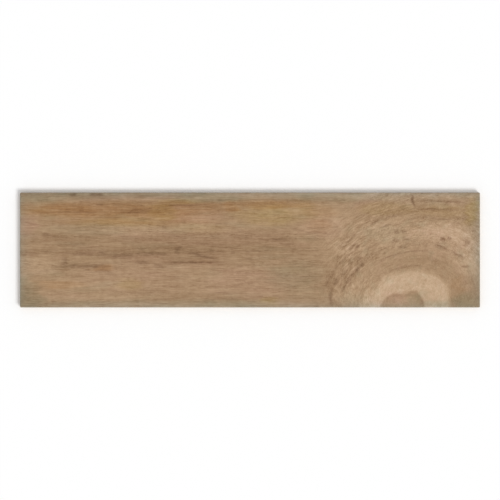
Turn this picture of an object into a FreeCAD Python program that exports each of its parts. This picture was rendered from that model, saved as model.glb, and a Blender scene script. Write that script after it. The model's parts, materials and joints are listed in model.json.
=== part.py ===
"""Wood look porcelain plank tile, in millimetres.

The tile is one dry-pressed and fired piece. It lies on its keyed back with its printed face up.
X runs along the plank, Y across it and Z up out of the face. The origin is at the middle of the
bedding plane, which is the plane of the ribs on the back.
"""

import FreeCAD, Part
import math
import os

import Sketcher

PLANK = "plank_tile"
SHEET = "Sizes"

# Driving sizes: alias, value in millimetres or degrees, and what it measures
SIZES = (
    ("plank_length", 600, "length of the plank"),
    ("plank_width", 150, "width of the plank"),
    ("plank_thickness", 9, "height from the bedding plane to the face"),
    ("corner_radius", 1.5, "radius of the four upright corners"),
    ("face_edge_radius", 1.2, "radius of the cushioned edge round the face"),
    ("back_bevel", 1, "bevel round the edge of the back, both ways"),
    ("key_pitch", 26, "spacing of the mortar keys along a row"),
    ("rib_width", 4, "width of the rib between two keys, at the bedding plane"),
    ("key_depth", 0.8, "depth of a mortar key"),
    ("key_draft", 30, "lean of a key's walls, in degrees from upright"),
    ("back_margin", 15, "least plain border between the keys and the tile's edge"),
)

# A key is a hexagon with two flats across X, so its rows nest at a smaller pitch
KEY_WIDTH = "(Sizes.key_pitch - Sizes.rib_width)"
KEY_HEIGHT = f"({KEY_WIDTH} * 2 / sqrt(3))"
ROW_PITCH = "(Sizes.key_pitch * sqrt(3) / 2)"

# As many rows and keys as fit inside the margin, centred on the back
ROWS = f"(floor((Sizes.plank_width - 2 * Sizes.back_margin - {KEY_HEIGHT}) / {ROW_PITCH}) + 1)"
ROW_KEYS = f"(floor((Sizes.plank_length - 2 * Sizes.back_margin - {KEY_WIDTH}) / Sizes.key_pitch) + 1)"
FIRST_KEY_X = f"(({ROW_KEYS} - 1) * Sizes.key_pitch / -2)"
FIRST_ROW_Y = f"(({ROWS} - 1) * {ROW_PITCH} / -2)"

# How closely the volume of all the keys has to match that of one key
KEY_VOLUME_TOLERANCE = 1e-3

CUBIC_MM_PER_CUBIC_CM = 1000

# How a sketch numbers its origin, and the start, end and centre of a shape
SKETCH_ORIGIN = (-1, 1)
START, END, CENTRE = range(1, 4)


def make_sheet(doc):
    """The spreadsheet that holds the driving sizes, one to a row."""
    sheet = doc.addObject("Spreadsheet::Sheet", SHEET)
    for row, (alias, value, words) in enumerate(SIZES, start=1):
        sheet.set(f"A{row}", words)
        sheet.set(f"B{row}", str(value))
        sheet.setAlias(f"B{row}", alias)
    doc.recompute()
    return sheet


def new_sketch(body, name):
    """A sketch on the bedding plane."""
    sketch = body.newObject("Sketcher::SketchObject", name)
    plane = next(feature for feature in body.Origin.OriginFeatures if feature.Role == "XY_Plane")
    sketch.AttachmentSupport = [(plane, "")]
    sketch.MapMode = "FlatFace"
    return sketch


def constrain(sketch, kind, *parts):
    return sketch.addConstraint(Sketcher.Constraint(kind, *parts))


def dimension(sketch, name, expression, kind, *parts):
    """A named size of a sketch that follows an expression."""
    sketch.renameConstraint(constrain(sketch, kind, *parts), name)
    sketch.setExpression(f"Constraints.{name}", expression)


def draw_polygon(sketch, corners):
    """Straight sides from corner to corner, joined end to end and closed."""
    points = [FreeCAD.Vector(x, y, 0) for x, y in corners]
    sides = []
    for start, end in zip(points, points[1:] + points[:1]):
        sides.append(sketch.addGeometry(Part.LineSegment(start, end), False))
    for side, following in zip(sides, sides[1:] + sides[:1]):
        constrain(sketch, "Coincident", side, END, following, START)
    return sides


def draw_rectangle(sketch, length, width):
    """A rectangle about the sketch's origin, with its length along X. It is drawn small, then sized."""
    bottom, right, top, left = draw_polygon(sketch, ((-1, -1), (1, -1), (1, 1), (-1, 1)))
    for side in (bottom, top):
        constrain(sketch, "Horizontal", side)
    for side in (left, right):
        constrain(sketch, "Vertical", side)
    constrain(sketch, "Symmetric", bottom, START, top, START, *SKETCH_ORIGIN)
    dimension(sketch, "along", length, "DistanceX", bottom, START, bottom, END, 2)
    dimension(sketch, "across", width, "DistanceY", right, START, right, END, 2)


def draw_hexagon(sketch, width):
    """A regular hexagon about the sketch's origin, sized from flat to flat along X.

    Its corners lie on a circle, which is drawn with a radius of 1 before the hexagon is sized.
    """
    angles = [math.radians(30 + 60 * corner) for corner in range(6)]
    sides = draw_polygon(sketch, [(math.cos(angle), math.sin(angle)) for angle in angles])
    circle = sketch.addGeometry(Part.Circle(FreeCAD.Vector(), FreeCAD.Vector(0, 0, 1), 1), True)
    constrain(sketch, "Coincident", circle, CENTRE, *SKETCH_ORIGIN)
    for side in sides:
        constrain(sketch, "PointOnObject", side, START, circle)
    for side in sides[1:]:
        constrain(sketch, "Equal", sides[0], side)
    left, right = sides[2], sides[5]
    constrain(sketch, "Vertical", right)
    drawn_width = 2 * math.cos(angles[0])
    dimension(sketch, "flat_to_flat", width, "DistanceX", left, START, right, START, drawn_width)


def edges_where(shape, test):
    """Names of the edges whose two end heights pass a test."""
    names = []
    for number, edge in enumerate(shape.Edges, start=1):
        if test(edge.Vertexes[0].Z, edge.Vertexes[-1].Z):
            names.append(f"Edge{number}")
    return names


def same(height, other):
    return abs(height - other) < Part.Precision.confusion()


def edges_at_height(shape, height):
    return edges_where(shape, lambda start, end: same(start, height) and same(end, height))


def upright_edges(shape):
    return edges_where(shape, lambda start, end: not same(start, end))


def press_blank(doc, body, sheet):
    """The plain plank, with its upright corners, its cushioned face edge and its bevelled back edge."""
    outline = new_sketch(body, "plank_outline")
    draw_rectangle(outline, "Sizes.plank_length", "Sizes.plank_width")
    slab = body.newObject("PartDesign::Pad", "slab")
    slab.Profile = outline
    slab.setExpression("Length", "Sizes.plank_thickness")
    doc.recompute()

    corners = body.newObject("PartDesign::Fillet", "upright_corners")
    corners.Base = (slab, upright_edges(slab.Shape))
    corners.setExpression("Radius", "Sizes.corner_radius")
    doc.recompute()

    cushion = body.newObject("PartDesign::Fillet", "face_edge")
    cushion.Base = (corners, edges_at_height(corners.Shape, sheet.plank_thickness))
    cushion.setExpression("Radius", "Sizes.face_edge_radius")
    doc.recompute()

    bevel = body.newObject("PartDesign::Chamfer", "back_edge")
    bevel.Base = (cushion, edges_at_height(cushion.Shape, 0))
    bevel.setExpression("Size", "Sizes.back_bevel")
    doc.recompute()
    return bevel


def press_every_other_row(doc, body, name, first_x, first_y, keys, rows):
    """Alternate rows of mortar keys: one shallow drafted key, repeated along and across the back."""
    mouth = new_sketch(body, f"{name}_mouth")
    mouth.setExpression("AttachmentOffset.Base.x", first_x)
    mouth.setExpression("AttachmentOffset.Base.y", first_y)
    draw_hexagon(mouth, KEY_WIDTH)
    key = body.newObject("PartDesign::Pocket", f"{name}_key")
    key.Profile = mouth
    key.Reversed = True
    key.setExpression("Length", "Sizes.key_depth")
    key.setExpression("TaperAngle", "-Sizes.key_draft")
    doc.recompute()

    pattern = body.newObject("PartDesign::LinearPattern", f"{name}_keys")
    pattern.Originals = [key]
    pattern.Direction = (mouth, ["H_Axis"])
    pattern.Direction2 = (mouth, ["V_Axis"])
    pattern.Mode = "Extent"
    pattern.Mode2 = "Extent"
    pattern.setExpression("Length", f"({keys} - 1) * Sizes.key_pitch")
    pattern.setExpression("Length2", f"({rows} - 1) * 2 * {ROW_PITCH}")
    pattern.setExpression("Occurrences", keys)
    pattern.setExpression("Occurrences2", rows)
    body.Tip = pattern
    doc.recompute()
    return pattern


def press_keys(doc, body):
    """The honeycomb of mortar keys, whose inner rows sit half a pitch along from the outer ones."""
    outer = press_every_other_row(
        doc, body, "outer_row", FIRST_KEY_X, FIRST_ROW_Y, ROW_KEYS, f"ceil({ROWS} / 2)"
    )
    inner_x = f"{FIRST_KEY_X} + Sizes.key_pitch / 2"
    inner_y = f"{FIRST_ROW_Y} + {ROW_PITCH}"
    inner = press_every_other_row(
        doc, body, "inner_row", inner_x, inner_y, f"({ROW_KEYS} - 1)", f"floor({ROWS} / 2)"
    )
    return outer, inner


def check(doc, body):
    """Stops the build if a feature failed or the tile isn't one sound solid."""
    for item in doc.Objects:
        if {"Invalid", "Error"} & set(item.State):
            raise RuntimeError(f"{item.Name} failed: {item.State}")
    if body.Shape.isNull() or not body.Shape.isValid() or len(body.Shape.Solids) != 1:
        raise RuntimeError(f"{body.Label} isn't one valid solid")


def check_keys(blank, patterns):
    """Stops the build unless every key took the same volume out of the blank. Returns their number."""
    first_key = patterns[0].Originals[0]
    one = blank.Shape.Volume - first_key.Shape.Volume
    every = blank.Shape.Volume - patterns[-1].Shape.Volume
    count = sum(pattern.Occurrences * pattern.Occurrences2 for pattern in patterns)
    if one <= 0 or not math.isclose(every, count * one, rel_tol=KEY_VOLUME_TOLERANCE):
        raise RuntimeError(f"{count} keys of {one:.2f} cubic mm took {every:.2f}")
    return count


def main():
    doc = FreeCAD.newDocument("PlankTile")
    sheet = make_sheet(doc)
    body = doc.addObject("PartDesign::Body", PLANK)
    body.Label = PLANK
    blank = press_blank(doc, body, sheet)
    patterns = press_keys(doc, body)
    check(doc, body)
    count = check_keys(blank, patterns)

    os.makedirs("parts", exist_ok=True)
    body.Shape.exportStep(os.path.join("parts", f"{body.Label}.step"))
    box = body.Shape.BoundBox
    volume = body.Shape.Volume / CUBIC_MM_PER_CUBIC_CM
    print(f"{body.Label}: {box.XLength:.2f} x {box.YLength:.2f} x {box.ZLength:.2f} mm")
    print(f"{count} keys, volume {volume:.1f} cubic cm")


main()
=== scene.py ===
"""Looks of the wood look porcelain plank tile: a pressed, printed and glazed face on a fired body.

Lengths are in millimetres in the tile's own frame until a mesh or an object is made. X runs along
the plank to the right, Y across it to the far side, and Z up out of the face. A span is a pair of
numbers: where a change starts and where it ends.
"""

import json
import math
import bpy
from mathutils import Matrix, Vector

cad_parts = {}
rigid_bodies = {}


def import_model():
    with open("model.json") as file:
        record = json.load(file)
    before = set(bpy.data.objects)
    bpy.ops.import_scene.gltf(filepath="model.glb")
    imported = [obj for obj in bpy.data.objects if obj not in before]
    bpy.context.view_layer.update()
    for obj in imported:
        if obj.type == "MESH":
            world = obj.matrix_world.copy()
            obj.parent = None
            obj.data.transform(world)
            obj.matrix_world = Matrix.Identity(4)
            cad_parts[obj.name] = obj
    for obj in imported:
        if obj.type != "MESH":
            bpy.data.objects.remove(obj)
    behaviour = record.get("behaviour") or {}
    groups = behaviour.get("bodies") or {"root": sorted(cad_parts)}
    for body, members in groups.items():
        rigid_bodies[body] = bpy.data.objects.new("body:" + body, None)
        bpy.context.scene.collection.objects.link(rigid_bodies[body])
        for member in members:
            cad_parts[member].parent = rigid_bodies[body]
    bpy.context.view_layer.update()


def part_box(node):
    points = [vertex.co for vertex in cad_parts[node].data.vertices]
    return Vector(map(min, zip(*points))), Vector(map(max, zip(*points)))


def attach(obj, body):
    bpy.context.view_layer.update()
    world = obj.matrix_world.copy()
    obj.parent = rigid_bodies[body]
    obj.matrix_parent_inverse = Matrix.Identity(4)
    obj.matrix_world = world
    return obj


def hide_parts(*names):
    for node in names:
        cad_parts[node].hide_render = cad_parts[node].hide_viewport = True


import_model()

from types import SimpleNamespace
from typing import NamedTuple

import bpy
import numpy as np
from mathutils import geometry, noise

MM = 0.001
NODE = "plank_tile"

LOW, HIGH = (np.array(corner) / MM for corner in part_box(NODE))
LENGTH, WIDTH, THICKNESS = HIGH - LOW

# Edges and mortar keys, as the solid has them
CORNER_RADIUS = 1.5
FACE_EDGE_RADIUS = 1.2
BACK_BEVEL = 1.0
KEY_PITCH = 26.0
RIB_WIDTH = 4.0
KEY_DEPTH = 0.8
KEY_DRAFT = math.radians(30)
KEY_SIDES = 6
BACK_MARGIN = 15.0

# Mesh of the face: columns lie closer together where the growth rings turn across the plank
FACE_COLUMNS = 330
FACE_ROWS = 226
CROWDED_SPAN = (60.0, 110.0)
CROWDING = 2.0
CROWDING_STEPS = 4000

# Mesh of the edges and the back
CUSHION_STEPS = 5
SIDE_STEPS = 4
CORNER_STEPS = 6
QUARTER_TURN = 90
FULL_TURN = 360
SHARP_ANGLE = math.radians(25)
TRIANGLES_INSIDE = 1
MERGE_DISTANCE = 1e-6

# Relief pressed into the face
GROOVE_DEPTH = 0.4
MARK_DEPTH = 0.5
RELIEF_FADE_SPAN = (0.0, 3.0)


class Waver(NamedTuple):
    """Smooth noise: how far it moves a value, over which lengths along and across, and its seed."""

    size: float
    along: float
    across: float
    seed: float


class Zone(NamedTuple):
    """A soft patch in the print."""

    x: float
    y: float
    half_length: float
    half_width: float
    strength: float


class Mark(NamedTuple):
    """A dark streak, dash or knot in the print, pressed in as well and turned by some degrees."""

    x: float
    y: float
    length: float
    width: float
    turn: float
    strength: float


class RingLine(NamedTuple):
    """A dark line that follows a growth ring between two angles, in degrees from the plank's right."""

    radius: float
    start: float
    end: float
    width: float
    strength: float


# Straight fibres, and the grooves along all fibres: broad hollows, and lines that come and go
FIBRE_WAVER = Waver(1.6, 110, 40, 3.0)
HOLLOW_WAVERS = (Waver(1.0, 40, 3.4, 21.0), Waver(0.5, 18, 1.7, 22.0))
HOLLOW_SPAN = (0.1, 0.7)
HOLLOW_SHARE = 0.7
LINE_WAVER = Waver(1.0, 70, 4.2, 23.0)
LINE_SPAN = (0.0, 0.2)
PRESENT_WAVER = Waver(1.0, 60, 9, 24.0)
PRESENT_SPAN = (-0.1, 0.4)

# Growth rings round the foot of a branch, cut open at the plank's near edge
RING_CENTRE = (209.0, -74.0)
RING_LEAN = 0.002
RING_SPREAD = 1.12
RING_NEAREST = 0.5
RING_RUN = 150.0
RING_STRETCH = 300.0
RING_CLOSING = 0.6
RING_WAVER = Waver(1.5, 40, 40, 4.0)
RING_LINE_WAVER = Waver(1.6, 30, 12, 18.0)

# Where the straight grain turns into rings: a border that slants to the right above a height
FIGURE_SPAN = (74.0, 126.0)
FIGURE_SLANT = 0.9
FIGURE_SLANT_FROM = 20.0
FIGURE_WAVER = Waver(16, 16, 13, 17.0)

# The rings' calm part: the knot round the core, which reaches further to its right, and the foot
KNOT_LEFT_SPAN = (-70.0, -20.0)
KNOT_OUTER_SPAN = (72.0, 86.0)
KNOT_REACH = 30.0
KNOT_REACH_SPAN = (-10.0, 40.0)
FOOT_SPAN = (6.0, 34.0)
FOOT_CALM = 0.4
CALM_GROOVE_LOSS = 0.6

# The pale ring round the branch's core: broader on its left, and narrower at its right foot
BAND_WAVER = Waver(3.0, 22, 22, 13.0)
PALE_INNER_SPAN = (0.9, 1.15)
PALE_OUTER_SPAN = (44.5, 53.0)
PALE_LEFT_SPAN = (20.0, 60.0)
PALE_LEFT_GAIN = 17.0
PALE_RIGHT_SPAN = (10.0, 45.0)
PALE_RIGHT_FOOT_SPAN = (12.0, 30.0)
PALE_RIGHT_LOSS = (3.0, 4.0)
PALE_RING_STRENGTH = 0.89

# The brown ring outside the pale one, which fades to its left
BROWN_INNER_SPAN = (48.0, 55.0)
BROWN_OUTER_SPAN = (66.0, 80.0)
BROWN_LEFT_SPAN = (-75.0, 0.0)
BROWN_RING_STRENGTH = 0.03

# The two-lobed core of the branch, and the dark line just inside its border
CORE_WAVER = Waver(0.08, 10, 10, 16.0)
CORE_LINE_AT = 0.9
CORE_LINE_WIDTH = 0.1
CORE_LINE_STRENGTH = 0.12

# Zones are level in the middle, and marks and ring lines have blunt ends. Zones and marks are shaken
ZONE_FADE_SPAN = (0.45, 1.35)
BLUNTNESS = 4
SHAKE_ALONG = (Waver(12, 45, 10, 11.0), Waver(5, 14, 4, 14.0))
SHAKE_ACROSS = (Waver(2.6, 45, 12, 12.0), Waver(1.2, 14, 5, 15.0))
MARK_SHAKE = 0.25

# The greyer rim, broader at the right end and narrower on the near side: partly thinner glaze at the edges,
# partly painted shade of the cushioned edge falling away
THIN_GLAZE_AND_SHADE_STRENGTH = 0.85
RIM_WIDTH = 5.5
RIM_RIGHT_SLOPE = 0.65
RIM_NEAR_SLOPE = 1.25

# Dark lines along the growth rings
RING_LINES = (
    RingLine(72.5, 80, 126, 2.6, 0.4),
    RingLine(54, 76, 122, 2.6, 0.3),
    RingLine(87, 119, 140, 5.0, 0.12),
    RingLine(66, 20, 70, 2.2, 0.14),
    RingLine(79, 8, 60, 2.6, 0.16),
    RingLine(96, 118, 160, 3.4, 0.2),
    RingLine(104, 135, 172, 3.0, 0.2),
)

# Lobes of the branch's core, and how sharply they meet
CORE_LOBES = (
    Zone(192, -77, 21, 19, 1.0),
    Zone(212, -77, 15.5, 22.5, 1.0),
)
CORE_JOINING = 7.0

# Where broad strokes follow the rings, most of all on their left flank
FLANK_ZONES = (
    Zone(131, -6, 24, 28, 1.0),
    Zone(122, -38, 18, 16, 0.7),
    Zone(142, 34, 30, 20, 0.5),
    Zone(114, 34, 20, 18, 0.4),
    Zone(150, -48, 18, 18, 0.45),
)

# Tinted zones
ORANGE_ZONES = (
    Zone(-230, 52, 74, 11, 0.85),
    Zone(-175, 51, 150, 12, 0.8),
    Zone(-90, 57, 80, 7, 0.58),
    Zone(-22, 56, 14, 9, 0.7),
    Zone(30, 60, 60, 6, 0.6),
    Zone(-190, -23, 16, 5, 0.5),
    Zone(-250, -45, 30, 6, 0.4),
    Zone(-150, 38, 110, 6, 0.45),
    Zone(250, 52, 42, 5, 0.1),
    Zone(91, 45, 18, 22, 0.3),
    Zone(272, -45, 10, 14, 0.2),
    Zone(-72, -16, 40, 5, 0.14),
)

OCHRE_ZONES = (
    Zone(-116, 50, 18, 13, 0.62),
    Zone(-98, 63, 30, 4, 0.5),
    Zone(28, 46, 46, 16, 0.65),
    Zone(66, 52, 22, 12, 0.5),
    Zone(-165, 36, 60, 7, 0.5),
    Zone(-158, -45, 18, 8, 0.45),
    Zone(291, 50, 10, 18, 0.8),
    Zone(252, 51, 44, 8, 0.3),
    Zone(27, -66, 12, 6, 0.5),
    Zone(178, 54, 34, 9, 0.36),
    Zone(-68, 28, 40, 8, 0.25),
)

OLIVE_ZONES = (
    Zone(-54, 68, 60, 6, 0.8),
    Zone(-288, -62, 20, 15, 0.9),
    Zone(-291, -46, 14, 16, 0.6),
    Zone(62, -34, 34, 22, 0.55),
    Zone(-278, 66, 34, 7, 0.8),
    Zone(-190, 71, 120, 5, 0.5),
    Zone(110, 68, 70, 6, 0.6),
    Zone(176, 21, 24, 13, 0.35),
    Zone(140, -66, 24, 10, 0.4),
    Zone(283, -66, 24, 10, 1.0),
    Zone(-218, 26, 50, 9, 0.35),
    Zone(218, -64, 13, 13, 0.55),
    Zone(243, -70, 20, 5, 0.7),
    Zone(-100, -70, 160, 5, 0.5),
)

PINK_ZONES = (
    Zone(-150, -36, 80, 20, 0.35),
    Zone(-2, -42, 60, 22, 0.6),
    Zone(-65, 44, 40, 10, 0.7),
    Zone(-289, 32, 14, 16, 0.9),
    Zone(95, 30, 28, 16, 0.6),
    Zone(190, -63, 14, 10, 0.7),
    Zone(148, 62, 18, 9, 0.6),
    Zone(-150, 67, 60, 4, 0.5),
    Zone(-60, 16, 110, 12, 0.4),
    Zone(-110, -18, 90, 10, 0.4),
    Zone(250, 10, 40, 24, 0.3),
)

# Darker zones and paler zones
DARK_ZONES = (
    Zone(-100, 3, 105, 18, 0.62),
    Zone(15, 4, 66, 18, 0.45),
    Zone(-235, 5, 62, 18, 0.4),
    Zone(-285, -6, 14, 4, 0.5),
    Zone(-200, 56, 90, 8, 0.35),
    Zone(-70, 59, 80, 6, 0.4),
    Zone(-60, -64, 80, 7, 0.2),
    Zone(106, -43, 6, 18, 0.5),
    Zone(-70, -8, 40, 6, 0.7),
    Zone(70, -26, 40, 26, 0.1),
    Zone(243, -70, 20, 5, 0.3),
    Zone(-180, 71, 140, 5, 0.4),
    Zone(-288, -60, 18, 18, 0.4),
    Zone(292, 50, 9, 20, 0.2),
    Zone(285, -64, 26, 12, 0.45),
    Zone(282, 38, 10, 12, 0.3),
    Zone(232, 14, 8, 12, 0.2),
    Zone(250, 41, 40, 3.5, 0.24),
    Zone(-116, 52, 16, 10, 0.3),
    Zone(-122, -42, 44, 16, 0.1),
    Zone(-290, 32, 12, 14, 0.12),
)

PALE_ZONES = (
    Zone(-150, 25, 50, 7, 0.3),
    Zone(-77, 27, 34, 9, 0.2),
    Zone(-280, -20, 30, 12, 0.35),
    Zone(-192, -40, 70, 14, 0.12),
    Zone(-175, -72, 80, 4, 0.18),
    Zone(-190, -62, 60, 9, 0.12),
    Zone(-46, -44, 40, 12, 0.08),
    Zone(252, 22, 46, 20, 0.62),
    Zone(281, -6, 20, 32, 0.5),
    Zone(180, 24, 46, 19, 0.36),
    Zone(94, -5, 12, 28, 0.08),
    Zone(136, -56, 14, 18, 0.36),
    Zone(117.5, -61, 7, 12, 0.4),
    Zone(128, -63, 10, 10, 0.46),
    Zone(163, -34, 14, 18, 0.2),
    Zone(162, -67, 12, 9, 0.5),
    Zone(105, 35, 30, 24, 0.2),
    Zone(130, 4, 20, 14, 0.32),
    Zone(182, 2, 22, 13, 0.22),
    Zone(152, -46, 12, 20, 0.25),
    Zone(200, 71, 110, 5, 0.4),
    Zone(194, -66, 22, 9, 0.2),
    Zone(34, 46, 40, 14, 0.1),
)

# Dark marks
MARKS = (
    # Left half, on its far side
    Mark(-232, 72, 10, 4, 0, 0.55),
    Mark(-201, 72.5, 18, 4.4, 0, 0.7),
    Mark(-195, 59.5, 9, 3, 0, 0.37),
    Mark(-237, 49.6, 70, 3, 0, 0.28),
    Mark(-150, 49.6, 42, 3.5, 0, 0.31),
    Mark(-184, 42.6, 57, 2.6, 0, 0.28),
    Mark(-266, 20, 12, 5, 0, 0.37),
    Mark(-248, 32, 7, 3, 0, 0.22),
    # Left half, along its middle
    Mark(-243, 0.4, 19, 2.5, 0, 0.22),
    Mark(-264, -2.2, 17, 2.5, 0, 0.22),
    Mark(-243, -15, 8, 9, 0, 0.56),
    Mark(-219, -21, 56, 6, 0, 0.48),
    Mark(-189, -28, 20, 6, -10, 0.43),
    Mark(-193, -5, 12, 7, 0, 0.43),
    Mark(-166, -8, 36, 7, 0, 0.43),
    Mark(-141, -16, 18, 5, 0, 0.43),
    Mark(-120, -20, 14, 6, 0, 0.37),
    Mark(-73, -16.3, 78, 5, 0, 0.62),
    Mark(-52, -15.5, 32, 6, 0, 0.37),
    Mark(-61, -8, 36, 4, -14, 0.56),
    Mark(-95, -1, 7, 8, 0, 0.5),
    Mark(-130, -5, 40, 5, 0, 0.37),
    Mark(-215, -5, 36, 4, 0, 0.37),
    Mark(-92, 4, 5, 4, 0, 0.25),
    # Middle of the plank, up to the rings
    Mark(-40, 65, 25, 2.6, 0, 0.34),
    Mark(-83, 58.7, 53, 2.6, 0, 0.31),
    Mark(-23, 52, 6, 4, 0, 0.22),
    Mark(-23, 42, 8, 5, 0, 0.22),
    Mark(-37, 34, 16, 2.5, 0, 0.25),
    Mark(-12, 24, 5, 4, 0, 0.22),
    Mark(66, 26, 25, 2, -15, 0.25),
    Mark(94, 22, 33, 2, -4, 0.25),
    Mark(37, 13.7, 22, 3.5, 0, 0.34),
    Mark(49, 8, 18, 2.6, 0, 0.31),
    Mark(12, -1, 32, 2.2, 2, 0.34),
    Mark(-3, -2, 5, 3.5, 0, 0.31),
    Mark(-23, -3, 5, 5, 0, 0.28),
    Mark(-2, -12, 9, 4.5, 0, 0.25),
    Mark(-13, -21, 8, 5, 0, 0.22),
    Mark(-36, -55, 19, 2.2, 0, 0.37),
    # Far right corner
    Mark(212, 65, 17, 3.6, -80, 0.8),
    Mark(250, 63.7, 54, 2.6, -2, 0.38),
    Mark(247, 52.8, 62, 3.5, -2, 0.42),
    Mark(245, 40.8, 40, 2.6, -3, 0.31),
    # Right of the rings
    Mark(252, 14.5, 7, 6.5, 0, 0.6),
    Mark(261, 15.5, 5.5, 5.5, 0, 0.65),
    Mark(282, 9.5, 6.5, 7.5, 0, 0.48),
    Mark(251, 4.5, 17, 5, -22, 0.42),
    Mark(272, -6.5, 18, 6.5, -28, 0.48),
    Mark(281, -21.5, 11, 3, 0, 0.5),
    # Dashes on the left flank of the rings
    Mark(126, 9, 16, 3.4, 45, 0.38),
    Mark(133, 5, 16, 3.4, 43, 0.4),
    Mark(131, 15, 14, 3.2, 45, 0.36),
    Mark(143, -11, 8, 4.6, 50, 0.5),
    Mark(139.5, -25.5, 7, 5, 50, 0.52),
    Mark(133, -33, 6, 4.4, 50, 0.3),
    Mark(128, -40, 8, 6, 55, 0.5),
    Mark(105.5, -62, 24, 5, 88, 0.46),
    Mark(112, -42, 10, 6, 70, 0.42),
    Mark(122, -50, 10, 4.5, 60, 0.3),
    Mark(120, 8, 12, 3.2, 45, 0.3),
    Mark(146, -19, 7, 5, 50, 0.5),
    Mark(140, 5, 6, 4, 45, 0.45),
    Mark(123, -30, 12, 4, 50, 0.42),
    # Spots and arcs on the far side of the knot
    Mark(190.5, 23.5, 7, 5, 0, 0.55),
    Mark(200.5, 24, 7, 4.5, 0, 0.52),
    Mark(190, 13, 8, 7, 0, 0.5),
    Mark(204, 15, 10, 5, 0, 0.4),
    Mark(198, 4, 10, 3.5, 0, 0.46),
    Mark(163, 36, 17, 3, 22, 0.3),
    Mark(178, 31.6, 18, 3, 16, 0.32),
    Mark(187, 44.5, 20, 3, 10, 0.32),
    Mark(152, 47, 16, 3, 25, 0.28),
)


def smooth(span, value):
    """0 up to a span's start, 1 from its end on, and a smooth rise between."""
    start, end = span
    share = np.clip((value - start) / (end - start), 0, 1)
    return share * share * (3 - 2 * share)


def wander(x, y, waver):
    """Smooth noise at each point, between about minus a waver's size and its size."""
    places = zip((x / waver.along).ravel(), (y / waver.across).ravel())
    values = [noise.noise((a, b, waver.seed)) for a, b in places]
    return waver.size * np.array(values).reshape(x.shape)


def wavering(value, x, y, wavers):
    """A value that several wavers move in turn."""
    for waver in wavers:
        value = value + wander(x, y, waver)
    return value


def ring_place(x, y):
    """A point from the branch's centre: along, up and straight out, for rings that lean and spread."""
    up = y - RING_CENTRE[1]
    along = (x - RING_CENTRE[0] - RING_LEAN * up**2) / RING_SPREAD
    return along, up, np.maximum(np.hypot(along, up), RING_NEAREST)


def straight_fibres(x, y):
    """Distance along and across the straight fibres, which waver a little."""
    return x, y + wander(x, y, FIBRE_WAVER)


def ring_fibres(x, y):
    """Distance along and across the fibres that circle the branch."""
    along, up, out = ring_place(x, y)
    turn = np.arctan2(along, np.maximum(up, RING_NEAREST))
    run = RING_STRETCH * turn * (out / RING_RUN) ** RING_CLOSING
    return run, out + wander(x, y, RING_WAVER)


def zone_distance(zone, x, y):
    """How far out of a zone a point is, 1 at its reach."""
    return np.hypot((x - zone.x) / zone.half_length, (y - zone.y) / zone.half_width)


def zone_strength(zones, x, y):
    """The strongest zone at each point: level in its middle and gone a little past its reach."""
    total = np.zeros_like(x)
    for zone in zones:
        share = 1 - smooth(ZONE_FADE_SPAN, zone_distance(zone, x, y))
        total = np.maximum(total, zone.strength * share)
    return total


def mark_strength(x, y):
    """The strongest mark at each point."""
    total = np.zeros_like(x)
    for mark in MARKS:
        turn = math.radians(mark.turn)
        along = (x - mark.x) * math.cos(turn) + (y - mark.y) * math.sin(turn)
        across = (y - mark.y) * math.cos(turn) - (x - mark.x) * math.sin(turn)
        off = (across / (mark.width / 2)) ** 2 + (along / (mark.length / 2)) ** BLUNTNESS
        total = np.maximum(total, mark.strength * np.exp(-off))
    return total


def ring_line_strength(x, y):
    """The strongest ring line at each point."""
    along, up, out = ring_place(x, y)
    angle = np.degrees(np.arctan2(up, along))
    out = out + wander(x, y, RING_LINE_WAVER)
    total = np.zeros_like(x)
    for line in RING_LINES:
        middle = (line.start + line.end) / 2
        reach = (line.end - line.start) / 2
        off = ((out - line.radius) / (line.width / 2)) ** 2 + ((angle - middle) / reach) ** BLUNTNESS
        total = np.maximum(total, line.strength * np.exp(-off))
    return total


def core_distance(x, y):
    """How far out of the branch's core a point is, about 1 at its border. Its lobes join smoothly."""
    nearness = np.zeros_like(x)
    for lobe in CORE_LOBES:
        nearness += np.exp(-CORE_JOINING * zone_distance(lobe, x, y))
    return -np.log(nearness) / CORE_JOINING + wander(x, y, CORE_WAVER)


def ring_bands(x, y):
    """The pale ring round the branch's core, the brown one round that, and the core's dark line."""
    along, up, out = ring_place(x, y)
    out = out + wander(x, y, BAND_WAVER)
    core = core_distance(x, y)
    left = smooth(PALE_LEFT_SPAN, -along)
    right = smooth(PALE_RIGHT_SPAN, along) * (1 - smooth(PALE_RIGHT_FOOT_SPAN, up))
    fade_start = PALE_OUTER_SPAN[0] - PALE_RIGHT_LOSS[0] * right
    fade_end = PALE_OUTER_SPAN[1] + PALE_LEFT_GAIN * left - PALE_RIGHT_LOSS[1] * right
    pale = smooth(PALE_INNER_SPAN, core) * (1 - smooth((fade_start, fade_end), out))
    brown = smooth(BROWN_INNER_SPAN, out) * (1 - smooth(BROWN_OUTER_SPAN, out))
    line = np.exp(-(((core - CORE_LINE_AT) / CORE_LINE_WIDTH) ** 2))
    return pale, brown * smooth(BROWN_LEFT_SPAN, along), line


def groove_depth(run, step):
    """Grooves pressed along the fibres, from 0 to 1."""
    hollows = HOLLOW_SHARE * smooth(HOLLOW_SPAN, wavering(0, run, step, HOLLOW_WAVERS))
    lines = 1 - smooth(LINE_SPAN, np.abs(wander(run, step, LINE_WAVER)))
    present = smooth(PRESENT_SPAN, wander(run, step, PRESENT_WAVER))
    return np.maximum(hollows, lines * present)


def figure_share(x, y):
    """How far the straight grain has turned into rings, 0 on the plank's left and 1 on its right."""
    slanted = x - FIGURE_SLANT * np.maximum(y - FIGURE_SLANT_FROM, 0)
    return smooth(FIGURE_SPAN, slanted + wander(x, y, FIGURE_WAVER))


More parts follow.
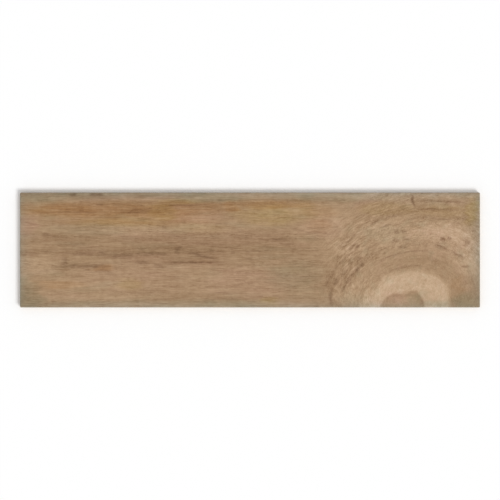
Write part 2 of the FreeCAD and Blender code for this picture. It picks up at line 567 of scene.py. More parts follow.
def calm_share(x, y):
    """How calm the rings are: most of all in the knot, and a little at the foot."""
    along, up, out = ring_place(x, y)
    reach = KNOT_REACH * smooth(KNOT_REACH_SPAN, along - up)
    knot = smooth(KNOT_LEFT_SPAN, along) * (1 - smooth(KNOT_OUTER_SPAN, out - reach))
    foot = 1 - smooth(FOOT_SPAN, up)
    return np.maximum(knot, FOOT_CALM * foot)


def thin_glaze_and_edge_shade(x, y):
    """The greyer rim, which fades inwards from the plank's edges: partly thinner glaze, partly painted
    shade of the cushioned edge.
    """
    ends = np.minimum(RIM_RIGHT_SLOPE * (LENGTH / 2 - x), LENGTH / 2 + x)
    sides = np.minimum(WIDTH / 2 - y, RIM_NEAR_SLOPE * (WIDTH / 2 + y))
    inwards = np.maximum(np.minimum(ends, sides), 0)
    return THIN_GLAZE_AND_SHADE_STRENGTH * np.exp(-inwards / RIM_WIDTH)


def print_fields(x, y):
    """Everything that the print and the relief share, at each point of the face."""
    lie_x, lie_y = straight_fibres(x, y)
    run, step = ring_fibres(x, y)
    figure = figure_share(x, y)
    calm = figure * calm_share(x, y)
    ring_grooves = groove_depth(run, step) * (1 - CALM_GROOVE_LOSS * calm)
    groove = groove_depth(lie_x, lie_y) * (1 - figure) + ring_grooves * figure

    shaken_x = wavering(x, x, y, SHAKE_ALONG)
    shaken_y = wavering(y, x, y, SHAKE_ACROSS)
    mark_x = MARK_SHAKE * shaken_x + (1 - MARK_SHAKE) * x
    mark_y = MARK_SHAKE * shaken_y + (1 - MARK_SHAKE) * y
    marks = np.maximum(mark_strength(mark_x, mark_y), ring_line_strength(x, y))
    pale_ring, brown_ring, core_line = ring_bands(x, y)
    dark = zone_strength(DARK_ZONES, shaken_x, shaken_y)
    pale = zone_strength(PALE_ZONES, shaken_x, shaken_y)
    return {
        "lie_x": lie_x,
        "lie_y": lie_y,
        "run": run,
        "step": step,
        "figure": figure,
        "calm": calm,
        "groove": groove,
        "mark": np.maximum(marks, CORE_LINE_STRENGTH * core_line),
        "dark": np.maximum(dark, BROWN_RING_STRENGTH * brown_ring),
        "pale": np.maximum(pale, PALE_RING_STRENGTH * pale_ring),
        "orange": zone_strength(ORANGE_ZONES, shaken_x, shaken_y),
        "ochre": zone_strength(OCHRE_ZONES, shaken_x, shaken_y),
        "olive": zone_strength(OLIVE_ZONES, shaken_x, shaken_y),
        "pink": zone_strength(PINK_ZONES, shaken_x, shaken_y),
        "flank": figure * zone_strength(FLANK_ZONES, shaken_x, shaken_y),
        # greyer rim: thinner glaze and painted shade of the cushioned edge
        "rim": thin_glaze_and_edge_shade(x, y),
    }


def face_columns():
    """Places of the face mesh's columns, crowded where the rings are."""
    half = LENGTH / 2 - FACE_EDGE_RADIUS
    fine = np.linspace(-half, half, CROWDING_STEPS + 1)
    density = 1 + (CROWDING - 1) * smooth(CROWDED_SPAN, fine)
    total = np.concatenate(([0], np.cumsum((density[1:] + density[:-1]) / 2)))
    return np.interp(np.linspace(0, total[-1], FACE_COLUMNS + 1), total, fine)


class TileMesh:
    """Gathers the tile's points, faces and bake map, and the print's fields at the points."""

    def __init__(self):
        self.points = []
        self.faces = []
        self.places = []
        self.materials = []
        self.fields = {}

    def add_points(self, points):
        """Adds points and returns their numbers."""
        first = len(self.points)
        self.points.extend(points)
        return list(range(first, len(self.points)))

    def add_face(self, corners, places, material):
        """Adds a face with the places of its corners in the bake map."""
        self.faces.append(corners)
        self.places.extend(places)
        self.materials.append(material)


# Material slots
GLAZE = 0
BODY = 1

# Shares of the bake map: the face has most of it, then the back, then the four sides in two strips
MAP_MARGIN = 0.002
FACE_BAND = (0.30, 0.998)
BACK_BAND = (0.105, 0.29)
SIDE_BANDS = ((0.004, 0.048), (0.054, 0.098))


def map_place(along, up, band):
    """A place in a band of the bake map, from shares along it and up it."""
    low, high = band
    return (MAP_MARGIN + (1 - 2 * MAP_MARGIN) * along, low + (high - low) * up)


def add_flat_face(mesh, corners, band, material):
    """Adds a face whose places in the bake map are seen from straight above."""
    places = []
    for corner in corners:
        x, y, _ = mesh.points[corner]
        places.append(map_place((x + LENGTH / 2) / LENGTH, (y + WIDTH / 2) / WIDTH, band))
    mesh.add_face(corners, places, material)


def add_face_grid(mesh):
    """The printed face, with its relief pressed below the solid's face."""
    columns = face_columns()
    half = WIDTH / 2 - FACE_EDGE_RADIUS
    rows = np.linspace(-half, half, FACE_ROWS + 1)
    x, y = np.meshgrid(columns, rows)
    fields = print_fields(x, y)
    from_edge = np.minimum(columns[-1] - np.abs(x), half - np.abs(y))
    relief = np.maximum(GROOVE_DEPTH * fields["groove"], MARK_DEPTH * fields["mark"])
    z = THICKNESS - smooth(RELIEF_FADE_SPAN, from_edge) * relief
    mesh.add_points(np.stack((x, y, z), axis=-1).reshape(-1, 3).tolist())
    mesh.fields = {name: values.ravel().tolist() for name, values in fields.items()}
    wide = FACE_COLUMNS + 1
    for row in range(FACE_ROWS):
        for column in range(FACE_COLUMNS):
            first = row * wide + column
            corners = (first, first + 1, first + wide + 1, first + wide)
            add_flat_face(mesh, corners, FACE_BAND, GLAZE)


class RimPoint(NamedTuple):
    """A point of the face's outline: where it is, which way is out, and the face point beside it."""

    x: float
    y: float
    out_x: float
    out_y: float
    parent: int


class FaceSide(NamedTuple):
    """A side of the face: its points, which way is out, and the angle where its first corner starts."""

    indices: range
    out: tuple
    corner_from: float


def face_outline(mesh):
    """The outline of the flat face, anticlockwise from its left near corner."""
    wide = FACE_COLUMNS + 1
    near_right = FACE_COLUMNS
    far_left = FACE_ROWS * wide
    far_right = far_left + FACE_COLUMNS
    sides = (
        FaceSide(range(0, near_right), (0, -1), 2 * QUARTER_TURN),
        FaceSide(range(near_right, far_right, wide), (1, 0), 3 * QUARTER_TURN),
        FaceSide(range(far_right, far_left, -1), (0, 1), 0),
        FaceSide(range(far_left, 0, -wide), (-1, 0), QUARTER_TURN),
    )
    inner_radius = CORNER_RADIUS - FACE_EDGE_RADIUS
    outline = []
    for side in sides:
        corner = side.indices[0]
        x, y, _ = mesh.points[corner]
        centre_x = x - math.copysign(inner_radius, x)
        centre_y = y - math.copysign(inner_radius, y)
        for step in range(CORNER_STEPS + 1):
            angle = math.radians(side.corner_from + QUARTER_TURN * step / CORNER_STEPS)
            out_x, out_y = math.cos(angle), math.sin(angle)
            point = (centre_x + inner_radius * out_x, centre_y + inner_radius * out_y)
            outline.append(RimPoint(*point, out_x, out_y, corner))
        for index in side.indices[1:]:
            outline.append(RimPoint(*mesh.points[index][:2], *side.out, index))
    return outline


class EdgeStep(NamedTuple):
    """A step down the edge: distance out from the flat face, height, way round the edge, material."""

    out: float
    height: float
    way: float
    material: int


def edge_profile():
    """Steps down the tile's edge from the flat face to the back."""
    profile = []
    for step in range(1, CUSHION_STEPS + 1):
        angle = math.pi / 2 * step / CUSHION_STEPS
        height = THICKNESS - FACE_EDGE_RADIUS * (1 - math.cos(angle))
        out = FACE_EDGE_RADIUS * math.sin(angle)
        profile.append(EdgeStep(out, height, FACE_EDGE_RADIUS * angle, GLAZE))
    side_top = THICKNESS - FACE_EDGE_RADIUS
    round_cushion = FACE_EDGE_RADIUS * math.pi / 2
    for step in range(1, SIDE_STEPS + 1):
        down = (side_top - BACK_BEVEL) * step / SIDE_STEPS
        profile.append(EdgeStep(FACE_EDGE_RADIUS, side_top - down, round_cushion + down, BODY))
    profile.append(EdgeStep(FACE_EDGE_RADIUS - BACK_BEVEL, 0.0, round_cushion + side_top, BODY))
    return profile


def outline_lengths(outline):
    """How far round the outline each point is, ending with the whole way round."""
    lengths = [0.0]
    for here, there in zip(outline, outline[1:] + outline[:1]):
        lengths.append(lengths[-1] + math.hypot(there.x - here.x, there.y - here.y))
    return lengths


def add_edge_points(mesh, outline, step):
    """Points all round the edge at one step, with the print's fields at the place that each unrolls to."""
    points = []
    for rim in outline:
        points.append((rim.x + rim.out_x * step.out, rim.y + rim.out_y * step.out, step.height))
    unrolled_x = np.array([rim.x + rim.out_x * step.way for rim in outline])
    unrolled_y = np.array([rim.y + rim.out_y * step.way for rim in outline])
    for name, values in print_fields(unrolled_x, unrolled_y).items():
        mesh.fields[name].extend(values.tolist())
    return mesh.add_points(points)


def add_side_face(mesh, corners, distances, whole):
    """Adds a face of the sides, with its places along one of the bake map's two strips for them."""
    strip = int(min(distances.values()) >= whole / 2)
    places = []
    for corner in corners:
        along = (distances[corner] - strip * whole / 2) / (whole / 2)
        places.append(map_place(along, mesh.points[corner][2] / THICKNESS, SIDE_BANDS[strip]))
    mesh.add_face(corners, places, BODY)


def add_edges(mesh):
    """The cushioned face edge, the sides and the bevel of the back. Returns the lowest points."""
    outline = face_outline(mesh)
    lengths = outline_lengths(outline)
    above = [rim.parent for rim in outline]
    for step in edge_profile():
        below = add_edge_points(mesh, outline, step)
        for here in range(len(outline)):
            there = (here + 1) % len(outline)
            corners = [below[here], below[there], above[there], above[here]]
            if above[here] == above[there]:
                corners.pop()
            if step.material == GLAZE:
                add_flat_face(mesh, tuple(corners), FACE_BAND, GLAZE)
                continue
            distances = dict.fromkeys((below[here], above[here]), lengths[here])
            distances.update(dict.fromkeys((below[there], above[there]), lengths[here + 1]))
            add_side_face(mesh, tuple(corners), distances, lengths[-1])
        above = below
    return above


def key_centres():
    """Middles of the mortar keys: a honeycomb of as many as fit inside the margin."""
    key_width = KEY_PITCH - RIB_WIDTH
    key_height = key_width * 2 / math.sqrt(3)
    row_pitch = KEY_PITCH * math.sqrt(3) / 2
    rows = math.floor((WIDTH - 2 * BACK_MARGIN - key_height) / row_pitch) + 1
    keys = math.floor((LENGTH - 2 * BACK_MARGIN - key_width) / KEY_PITCH) + 1
    for row in range(rows):
        count = keys - row % 2
        for key in range(count):
            yield (key - (count - 1) / 2) * KEY_PITCH, (row - (rows - 1) / 2) * row_pitch


def hexagon(centre, radius, height):
    """Corners of a hexagon that has two sides across the plank."""
    corners = []
    for corner in range(KEY_SIDES):
        angle = math.radians(FULL_TURN / KEY_SIDES * (corner + 1 / 2))
        x = centre[0] + radius * math.cos(angle)
        y = centre[1] + radius * math.sin(angle)
        corners.append((x, y, height))
    return corners


def add_key(mesh, centre):
    """One mortar key: drafted walls and a floor. Returns the points of its mouth."""
    mouth_radius = (KEY_PITCH - RIB_WIDTH) / math.sqrt(3)
    floor_radius = mouth_radius - KEY_DEPTH * math.tan(KEY_DRAFT) * 2 / math.sqrt(3)
    mouth = mesh.add_points(hexagon(centre, mouth_radius, 0.0))
    floor = mesh.add_points(hexagon(centre, floor_radius, KEY_DEPTH))
    for here in range(KEY_SIDES):
        there = (here + 1) % KEY_SIDES
        wall = (mouth[here], floor[here], floor[there], mouth[there])
        add_flat_face(mesh, wall, BACK_BAND, BODY)
    add_flat_face(mesh, tuple(reversed(floor)), BACK_BAND, BODY)
    return mouth


def add_back(mesh, outline):
    """The keyed back: the keys, and the ribs between them in the bedding plane."""
    rims = [outline] + [add_key(mesh, centre) for centre in key_centres()]
    for values in mesh.fields.values():
        values.extend([0.0] * (len(mesh.points) - len(values)))

    points = []
    owners = []
    edges = []
    for number, rim in enumerate(rims):
        first = len(points)
        points.extend(rim)
        owners.extend([number] * len(rim))
        for here in range(len(rim)):
            edges.append((first + here, first + (here + 1) % len(rim)))
    flat = [mesh.points[index][:2] for index in points]
    parts = geometry.delaunay_2d_cdt(flat, edges, [], TRIANGLES_INSIDE, MERGE_DISTANCE)
    _, _, triangles, origins, _, _ = parts
    for triangle in triangles:
        corners = [origins[corner][0] for corner in triangle]
        touched = {owners[corner] for corner in corners}
        inside_key = len(touched) == 1 and touched != {0}
        if not inside_key:
            rib = tuple(points[corner] for corner in reversed(corners))
            add_flat_face(mesh, rib, BACK_BAND, BODY)


def make_mesh(name, tile):
    """A mesh with the tile's shape, its fields as attributes and its bake map."""
    mesh = bpy.data.meshes.new(name)
    points = [(x * MM, y * MM, z * MM) for x, y, z in tile.points]
    mesh.from_pydata(points, [], tile.faces)
    mesh.polygons.foreach_set("material_index", tile.materials)
    mesh.polygons.foreach_set("use_smooth", [True] * len(tile.faces))
    mesh.set_sharp_from_angle(angle=SHARP_ANGLE)
    places = mesh.uv_layers.new(name="OFBake")
    places.data.foreach_set("uv", np.array(tile.places).ravel())
    for field, values in tile.fields.items():
        attribute = mesh.attributes.new(field, "FLOAT", "POINT")
        attribute.data.foreach_set("value", values)
    mesh.update()
    return mesh


# Sockets of the mix node: its share, its pairs of numbers and of colours, and the two results
MIX_SHARE = 0
MIX_NUMBERS = (2, 3)
MIX_COLOURS = (6, 7)
NUMBER_RESULT = 0
COLOUR_RESULT = 2

# Slope and start that take a noise node's 0 to 1 to about -1 to 1
NOISE_SLOPE = 2.0
NOISE_START = -1.0


class Nodes:
    """Short calls that add nodes to one tree and join them."""

    def __init__(self, tree):
        self.tree = tree
        self.tree.nodes.clear()
        self.fields = {}

    def add(self, kind, inputs=(), **settings):
        """Adds a node, with its inputs joined to other nodes or set."""
        node = self.tree.nodes.new(kind)
        for name, value in settings.items():
            setattr(node, name, value)
        for name, value in dict(inputs).items():
            if isinstance(value, bpy.types.NodeSocket):
                self.tree.links.new(value, node.inputs[name])
            else:
                node.inputs[name].default_value = value
        return node

    def field(self, name):
        """The mesh's own value at each point. Each field has one node in the tree."""
        if name not in self.fields:
            self.fields[name] = self.add("ShaderNodeAttribute", attribute_name=name).outputs["Fac"]
        return self.fields[name]

    def math(self, operation, *values, clamp=False):
        """The result of an operation, kept from 0 to 1 if clamped."""
        inputs = dict(enumerate(values))
        return self.add("ShaderNodeMath", inputs, operation=operation, use_clamp=clamp).outputs[0]

    def plus(self, first, second):
        """Two values added."""
        return self.math("ADD", first, second)

    def times(self, first, second, clamp=False):
        """Two values multiplied."""
        return self.math("MULTIPLY", first, second, clamp=clamp)

    def line(self, value, slope, start):
        """A value times a slope, on from a start."""
        return self.math("MULTIPLY_ADD", value, slope, start)

    def total(self, start, *parts):
        """A start with parts added in turn. Each part is a value and its weight."""
        for value, weight in parts:
            start = self.line(value, weight, start)
        return start

    def share(self, value, span, result=(0.0, 1.0)):
        """How far through a span a value is, as a number that stays between the result's two ends."""
        names = ("Value", "From Min", "From Max", "To Min", "To Max")
        inputs = dict(zip(names, (value, *span, *result)))
        return self.add("ShaderNodeMapRange", inputs).outputs["Result"]

    def vector(self, x, y, z):
        """Three numbers as one place."""
        return self.add("ShaderNodeCombineXYZ", {"X": x, "Y": y, "Z": z}).outputs[0]

    def noise(self, vector, scale=1.0, detail=2.0, roughness=0.5):
        """Noise about 0, from about -1 to 1."""
        inputs = {"Vector": vector, "Scale": scale, "Detail": detail, "Roughness": roughness}
        node = self.add("ShaderNodeTexNoise", inputs)
        return self.line(node.outputs["Fac"], NOISE_SLOPE, NOISE_START)

    def blend(self, share, first, second):
        """A number between two others."""
        inputs = {MIX_SHARE: share, MIX_NUMBERS[0]: first, MIX_NUMBERS[1]: second}
        return self.add("ShaderNodeMix", inputs, data_type="FLOAT").outputs[NUMBER_RESULT]

    def mix(self, share, first, second, blend="MIX"):
        """A colour that is mixed from two others."""
        inputs = {MIX_SHARE: share, MIX_COLOURS[0]: first, MIX_COLOURS[1]: second}
        node = self.add("ShaderNodeMix", inputs, data_type="RGBA", blend_type=blend)
        return node.outputs[COLOUR_RESULT]

    def tint(self, share, colour, cast):
        """A colour that keeps its grain and takes on a share of a cast."""
        return self.mix(share, colour, cast, blend="MULTIPLY")

    def ramp(self, value, stops):
        """The colour of a value, from stops that each have a place and a colour."""
        node = self.add("ShaderNodeValToRGB", {"Fac": value})
        elements = node.color_ramp.elements
        while len(elements) < len(stops):
            elements.new(1.0)
        for element, (place, colour) in zip(elements, stops):
            element.position = place
            element.color = colour
        return node.outputs["Color"]


# Screen values run from 0 to 255 on a curve that is straight near black
SCREEN_WHITE = 255
CURVE_FROM = 0.04045
STRAIGHT_SLOPE = 12.92
CURVE_OFFSET = 0.055
CURVE_POWER = 2.4


def linear(value):
    """The light of a screen value."""
    share = value / SCREEN_WHITE
    if share <= CURVE_FROM:
        return share / STRAIGHT_SLOPE
    return ((share + CURVE_OFFSET) / (1 + CURVE_OFFSET)) ** CURVE_POWER


def srgb(red, green, blue):
    """A colour written as screen values, made linear."""
    return (linear(red), linear(green), linear(blue), 1.0)


# Colours of the print's wood from pale to dark, and its plain colour between them
PALETTE = (
    (0.0, srgb(204, 176, 146)),
    (0.25, srgb(181, 151, 119)),
    (0.5, srgb(159, 129, 97)),
    (0.75, srgb(138, 107, 76)),
    (1.0, srgb(112, 82, 54)),
)
PLAIN = srgb(165, 136, 107)


def cast(red, green, blue):
    """What plain wood is multiplied by to make a colour of it."""
    return tuple(there / plain for there, plain in zip(srgb(red, green, blue), PLAIN))


# Casts of the print's zones, its marks and its rim. The rim's grey is partly thinner glaze, partly painted
# shade of the cushioned edge
TINTS = {
    "orange": cast(162, 121, 79),
    "ochre": cast(164, 136, 90),
    "olive": cast(154, 135, 107),
    "pink": cast(171, 138, 113),
}
DEEP = cast(96, 61, 32)
THIN_GLAZE_AND_EDGE_SHADE = cast(146, 137, 122)

# Colours of the fired body, the engobe under the glaze and the kiln wash
BISCUIT = srgb(188, 170, 146)
BISCUIT_WARM = srgb(176, 154, 127)
SPECK_DARK = srgb(128, 106, 84)
SPECK_PALE = srgb(214, 202, 182)
ENGOBE = srgb(214, 204, 186)
KILN_WASH = srgb(222, 216, 202)

# Both surfaces are dry, with fine bumps: so many millimetres for a height of 1
SPECULAR_LEVEL = 0.25
BUMP_DEPTH = 0.1


class Grain(NamedTuple):
    """Noise drawn out along the fibres, and shortened where they are rings."""

    along: float
    across: float
    seed: float
    detail: float
    roughness: float = 0.5
    shortening: float = 1.7


class Strength(NamedTuple):
    """How strong something is in straight grain, and what the rings and their calm part add to that."""

    straight: float
    rings: float
    calm: float = 0.0


# The print's grain, from broad to fine
BANDS = Grain(200, 13, 1.0, 3, shortening=1)
PATCHES = Grain(26, 5.5, 3.0, 3, 0.6)
STREAKS = Grain(42, 2.4, 4.0, 4, 0.6)
STROKES = Grain(18, 3.6, 5.0, 1, shortening=1)
GRANULES = Grain(6, 2.6, 31.0, 2)
HAIRS = Grain(48, 1.9, 11.0, 2)
FIBRES = Grain(26, 0.8, 7.0, 4, 0.55)
PORES = Grain(9, 0.55, 9.0, 0)
TICKS = Grain(3.6, 0.36, 10.0, 0)

# Noise that doesn't follow the fibres
MOTTLE_SCALE = 150.0
BLOTCH_SCALE = 45.0
PLACE_DETAIL = 3

# How grain is sharpened into lines, and how open it is where it has pores
FIBRE_SPAN = (-0.02, 0.07)
CRISP_SPAN = (0.0, 0.09)
PALE_TO_DARK = (-0.5, 0.5)
HAIR_SPAN = (0.0, 0.05)
PORE_SPAN = (0.2, 0.235)
TICK_SPAN = (0.22, 0.255)
OPEN_PATCHES = 0.5
OPEN_SPAN = (-0.4, 0.3)
OPEN_RESULT = (0.25, 1.0)

# How strong the grain is in each part of the plank
LIVELY = Strength(0.67, 0.17, -0.35)
QUIET = Strength(0.85, 0.15, -0.45)
EVENLY = Strength(1.0, 0.0, -0.75)
HAIR_STRENGTH = Strength(1.0, -0.7)
FIBRE_STRENGTH = Strength(0.09, 0.01)

# How dark the print is: a level, and the weight of each part of it. The groove weight is painted shade in
# the pressed grooves
TONE = SimpleNamespace(
    level=0.44, patches=0.19, bands=0.12, streaks=0.08, crisp=0.065, strokes=0.5, hairs=0.08,
    mottle=0.12, granules=0.16, pores=0.22, ticks=0.14, groove=0.04, dark=0.30, pale=-0.36,
)

# How full granules, zones, tints, marks and the rim are: a level, and the weight of what changes it
GRANULE_FILL = SimpleNamespace(level=0.4, dark=0.8, figure=0.5)
DARK_FILL = SimpleNamespace(level=0.92, patches=0.4)
PALE_FILL = SimpleNamespace(level=0.95, patches=-0.4)
TINT_FILL = SimpleNamespace(level=0.85, blotches=0.2, streaks=0.6, patches=0.5)
MARK_FILL = SimpleNamespace(level=0.85, streaks=0.7, granules=0.6)
THIN_GLAZE_AND_SHADE_FILL = SimpleNamespace(level=0.85, blotches=0.4)

# Soft casts all over the print, each with the tint that it has
CASTS = ((Grain(60, 13, 15.0, 2), "pink"), (Grain(60, 13, 25.0, 2), "olive"))
CAST_SPAN = (0.05, 0.6)
CAST_RESULT = (0.0, 0.5)

# The glaze's surface: weights of its bumps and of its roughness
GLAZE_HEIGHT = SimpleNamespace(level=0.0, pores=-1.0, ticks=-0.5, hairs=-0.5, fibres=-0.3)
GLAZE_BUMP = 0.6
GLAZE_ROUGHNESS = SimpleNamespace(level=0.56, mottle=0.05, streaks=0.06)


def grain_noise(n, grain):
    """Noise drawn out along the straight fibres, and along the rings where those are."""
    along = n.times(n.field("lie_x"), 1 / grain.along)
    across = n.times(n.field("lie_y"), 1 / grain.across)
    ring_along = n.times(n.field("run"), grain.shortening / grain.along)
    ring_across = n.times(n.field("step"), 1 / grain.across)
    fine = {"detail": grain.detail, "roughness": grain.roughness}
    straight = n.noise(n.vector(along, across, grain.seed), **fine)
    rings = n.noise(n.vector(ring_along, ring_across, grain.seed), **fine)
    return n.blend(n.field("figure"), straight, rings)


def strength_node(n, strength):
    """A strength at each point of the face."""
    with_rings = n.line(n.field("figure"), strength.rings, strength.straight)
    return n.line(n.field("calm"), strength.calm, with_rings)


def print_grain(n):
    """Every part of the print's grain, as nodes."""
    place = n.add("ShaderNodeTexCoord").outputs["Object"]
    bands = grain_noise(n, BANDS)
    patches = grain_noise(n, PATCHES)
    streaks = grain_noise(n, STREAKS)
    fibres = grain_noise(n, FIBRES)
    hair_middle = n.math("ABSOLUTE", grain_noise(n, HAIRS))
    hairs = n.share(hair_middle, HAIR_SPAN, (1.0, 0.0))
    pores = n.share(grain_noise(n, PORES), PORE_SPAN)
    ticks = n.share(grain_noise(n, TICKS), TICK_SPAN)
    open_grain = n.share(n.line(patches, OPEN_PATCHES, bands), OPEN_SPAN, OPEN_RESULT)
    return SimpleNamespace(
        bands=bands,
        patches=patches,
        streaks=streaks,
        crisp=n.share(streaks, CRISP_SPAN, PALE_TO_DARK),
        strokes=grain_noise(n, STROKES),
        granules=grain_noise(n, GRANULES),
        fibres=n.share(fibres, FIBRE_SPAN, PALE_TO_DARK),
        hairs=n.times(hairs, strength_node(n, HAIR_STRENGTH)),
        pores=n.times(pores, open_grain),
        ticks=n.times(ticks, open_grain),
        mottle=n.noise(place, scale=MOTTLE_SCALE, detail=PLACE_DETAIL),
        blotches=n.noise(place, scale=BLOTCH_SCALE, detail=PLACE_DETAIL),
    )


def grain_total(n, grain, weights):
    """A level, with the parts of the grain that have a weight added to it."""
    total = weights.level
    for name, weight in vars(weights).items():
        if name != "level":
            total = n.line(getattr(grain, name), weight, total)
    return total


def print_tone(n, grain, even_patches):
    """How dark the print is, from 0 to 1."""
    lively = strength_node(n, LIVELY)
    quiet = strength_node(n, QUIET)
    dark = n.field("dark")
    figure = n.field("figure")
    granule_fill = n.total(GRANULE_FILL.level, (dark, GRANULE_FILL.dark), (figure, GRANULE_FILL.figure))
    dark_fill = n.line(even_patches, DARK_FILL.patches, DARK_FILL.level)
    pale_fill = n.line(even_patches, PALE_FILL.patches, PALE_FILL.level)
    return n.total(
        TONE.level,
        (n.times(grain.patches, lively), TONE.patches),
        (grain.bands, TONE.bands),
        (n.times(grain.streaks, lively), TONE.streaks),
        (n.times(grain.crisp, lively), TONE.crisp),
        (n.times(grain.strokes, n.field("flank")), TONE.strokes),
        (n.times(grain.fibres, quiet), strength_node(n, FIBRE_STRENGTH)),
        (n.times(grain.hairs, lively), TONE.hairs),
        (grain.mottle, TONE.mottle),
        (n.times(grain.granules, granule_fill), TONE.granules),
        (n.times(grain.pores, quiet), TONE.pores),
        (n.times(grain.ticks, quiet), TONE.ticks),
        # darker where the grooves are pressed deepest: painted shade in the grooves
        (n.field("groove"), TONE.groove),
        (n.times(dark, dark_fill), TONE.dark),
        (n.times(n.field("pale"), pale_fill), TONE.pale),
    )


def print_colour(n, grain):
    """The print's colour: wood from pale to dark, with tinted zones, casts, dark marks and a greyer rim of
    thinner glaze and painted edge shade.
    """
    evenly = strength_node(n, EVENLY)
    colour = n.ramp(print_tone(n, grain, n.times(grain.patches, evenly)), PALETTE)

    grainy = n.plus(n.times(grain.streaks, TINT_FILL.streaks), n.times(grain.patches, TINT_FILL.patches))
    blotchy = n.line(grain.blotches, TINT_FILL.blotches, TINT_FILL.level)
    tint_fill = n.plus(n.times(grainy, evenly), blotchy)
    for name, tint in TINTS.items():
        colour = n.tint(n.times(n.field(name), tint_fill, clamp=True), colour, tint)
    for kind, name in CASTS:
        colour = n.tint(n.share(grain_noise(n, kind), CAST_SPAN, CAST_RESULT), colour, TINTS[name])

    mark = n.times(n.field("mark"), grain_total(n, grain, MARK_FILL), clamp=True)
    # the rim: thinner glaze and painted shade of the cushioned edge, greyer towards the plank's edges
    rim = n.times(n.field("rim"), grain_total(n, grain, THIN_GLAZE_AND_SHADE_FILL), clamp=True)
    return n.tint(rim, n.tint(mark, colour, DEEP), THIN_GLAZE_AND_EDGE_SHADE)


def add_surface(n, colour, roughness, height, bump):
    """Ends a tree with a dry surface that has a colour, a roughness and bumps."""
    inputs = {"Height": height, "Strength": bump, "Distance": BUMP_DEPTH * MM}
    normal = n.add("ShaderNodeBump", inputs).outputs["Normal"]
    inputs = {
        "Base Color": colour,
        "Roughness": roughness,
        "Specular IOR Level": SPECULAR_LEVEL,
        "Normal": normal,
    }
    shader = n.add("ShaderNodeBsdfPrincipled", inputs)
    n.add("ShaderNodeOutputMaterial", {"Surface": shader.outputs["BSDF"]})


def printed_glaze():
    """Matt glaze with the wood print: fibres, pores, bands and marks that follow the pressed face."""
    material = bpy.data.materials.new("printed_glaze")
    material.use_nodes = True
    n = Nodes(material.node_tree)
    grain = print_grain(n)
    roughness = grain_total(n, grain, GLAZE_ROUGHNESS)
    height = grain_total(n, grain, GLAZE_HEIGHT)
    add_surface(n, print_colour(n, grain), roughness, height, GLAZE_BUMP)
    return material


# Clouds, grit and ragged edges in the fired body
CLOUD = {"scale": 45.0, "detail": 5}
GRIT = {"scale": 1500.0, "detail": 2}
RAGGED = {"scale": 320.0, "detail": 3}
CLOUD_SPAN = (-0.5, 0.5)
DARK_SPECK_SPAN = (0.25, 0.5)
DARK_SPECK_RESULT = (0.0, 0.5)
PALE_SPECK_SPAN = (-0.5, -0.25)
PALE_SPECK_RESULT = (0.4, 0.0)

# The engobe's ragged lower edge, and the wash on what lies in the bedding plane
ENGOBE_HEIGHT = 7.35
ENGOBE_RAGGED = 0.35
ENGOBE_FADE = 0.12
ENGOBE_RESULT = (0.0, 0.85)
BEDDED_SPAN = (0.02 * MM, 0.1 * MM)
WASH_RAGGED = 0.5
WASH_SPAN = (-0.25, 0.35)
WASH_RESULT = (0.05, 0.6)

# The body's surface: weights of its bumps and of its roughness
BODY_HEIGHT = SimpleNamespace(ragged=0.7, grit=0.5)
BODY_BUMP = 0.4
BODY_ROUGHNESS = SimpleNamespace(level=0.82, cloud=0.08)


def fired_body():
    """Dry porcelain of the sides and the back: tan, speckled, with a pale engobe line and a kiln wash."""
    material = bpy.data.materials.new("fired_body")
    material.use_nodes = True
    n = Nodes(material.node_tree)
    place = n.add("ShaderNodeTexCoord").outputs["Object"]
    height = n.add("ShaderNodeSeparateXYZ", {"Vector": place}).outputs["Z"]
    cloud = n.noise(place, **CLOUD)
    grit = n.noise(place, **GRIT)
    ragged = n.noise(place, **RAGGED)

    colour = n.mix(n.share(cloud, CLOUD_SPAN), BISCUIT, BISCUIT_WARM)
    colour = n.mix(n.share(grit, DARK_SPECK_SPAN, DARK_SPECK_RESULT), colour, SPECK_DARK)
    colour = n.mix(n.share(grit, PALE_SPECK_SPAN, PALE_SPECK_RESULT), colour, SPECK_PALE)
    engobe_edge = n.line(ragged, ENGOBE_RAGGED * MM, ENGOBE_HEIGHT * MM)
    above_edge = n.math("SUBTRACT", height, engobe_edge)
    colour = n.mix(n.share(above_edge, (0.0, ENGOBE_FADE * MM), ENGOBE_RESULT), colour, ENGOBE)
    bedded = n.share(height, BEDDED_SPAN, (1.0, 0.0))
    patchy = n.share(n.plus(cloud, n.times(ragged, WASH_RAGGED)), WASH_SPAN, WASH_RESULT)
    colour = n.mix(n.times(bedded, patchy), colour, KILN_WASH)

    roughness = n.line(cloud, BODY_ROUGHNESS.cloud, BODY_ROUGHNESS.level)
    bumps = n.total(0.0, (ragged, BODY_HEIGHT.ragged), (grit, BODY_HEIGHT.grit))
    add_surface(n, colour, roughness, bumps, BODY_BUMP)
    return material


def dress_tile():
    """The tile's own piece, which stands for the plain solid."""
    tile = TileMesh()
    add_face_grid(tile)
    back_outline = add_edges(tile)
    add_back(tile, back_outline)
    piece = bpy.data.objects.new("plank_tile_pressed", make_mesh("plank_tile_pressed", tile))
    bpy.context.collection.objects.link(piece)
    piece.data.materials.append(printed_glaze())
    piece.data.materials.append(fired_body())
    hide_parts(NODE)
    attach(piece, "root")


# Light: a white surround and a soft sun that together light a level face as its colours are written
SURROUND = 0.62
SURROUND_SEEN = 1.0
SUN_SHARE = 0.40
SUN_HEIGHT = math.radians(50)
SUN_FROM = math.radians(135)
SUN_SPREAD = math.radians(25)


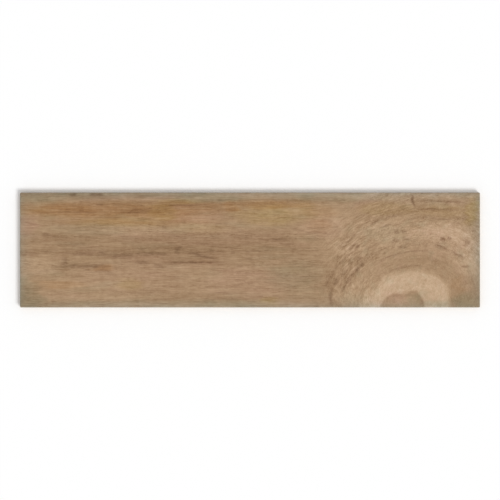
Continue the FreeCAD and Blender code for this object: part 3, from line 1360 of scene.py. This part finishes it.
def light_scene():
    """A surround that looks white but lights less than that, and a soft sun."""
    scene = bpy.context.scene
    scene.view_settings.view_transform = "Standard"
    world = bpy.data.worlds.new("surround")
    world.use_nodes = True
    n = Nodes(world.node_tree)
    path = n.add("ShaderNodeLightPath").outputs
    seen = n.math("MAXIMUM", path["Is Camera Ray"], path["Is Glossy Ray"])
    seen = n.math("MAXIMUM", seen, path["Is Transmission Ray"])
    strength = n.share(seen, (0.0, 1.0), (SURROUND, SURROUND_SEEN))
    background = n.add("ShaderNodeBackground", {"Color": (1, 1, 1, 1), "Strength": strength})
    n.add("ShaderNodeOutputWorld", {"Surface": background.outputs[0]})
    scene.world = world

    lamp = bpy.data.lights.new("sun", "SUN")
    lamp.energy = SUN_SHARE * math.pi / math.sin(SUN_HEIGHT)
    lamp.angle = SUN_SPREAD
    sun = bpy.data.objects.new("sun", lamp)
    sun.rotation_euler = (math.pi / 2 - SUN_HEIGHT, 0, SUN_FROM - math.pi / 2)
    bpy.context.collection.objects.link(sun)


# Floor: a wide white plane just below the tile, in metres
FLOOR_REACH = 200.0
FLOOR_DROP = 0.0002
FLOOR_WHITE = 0.98


def lay_floor():
    """The white floor under the tile."""
    mesh = bpy.data.meshes.new("floor")
    reach = FLOOR_REACH
    corners = [(-reach, -reach, 0), (reach, -reach, 0), (reach, reach, 0), (-reach, reach, 0)]
    mesh.from_pydata(corners, [], [(0, 1, 2, 3)])
    floor = bpy.data.objects.new("floor", mesh)
    floor.location.z = -FLOOR_DROP
    material = bpy.data.materials.new("floor_white")
    material.use_nodes = True
    n = Nodes(material.node_tree)
    white = (FLOOR_WHITE, FLOOR_WHITE, FLOOR_WHITE, 1)
    shader = n.add("ShaderNodeBsdfDiffuse", {"Color": white})
    n.add("ShaderNodeOutputMaterial", {"Surface": shader.outputs[0]})
    mesh.materials.append(material)
    bpy.context.collection.objects.link(floor)


# Camera: straight above the face, far off with a long lens. Widths in the image are in pixels
LENS = 200.0
SENSOR = 36.0
IMAGE_WIDTH = 500
TILE_WIDTH_IN_IMAGE = 460


def place_camera():
    """The camera, at the height where the tile has its width in the image."""
    data = bpy.data.cameras.new("camera")
    data.lens = LENS
    data.sensor_width = SENSOR
    camera = bpy.data.objects.new("camera", data)
    seen_width = LENGTH * MM * IMAGE_WIDTH / TILE_WIDTH_IN_IMAGE
    camera.location = (0, 0, THICKNESS * MM + seen_width * LENS / SENSOR)
    bpy.context.collection.objects.link(camera)
    bpy.context.scene.camera = camera


dress_tile()
light_scene()
lay_floor()
place_camera()
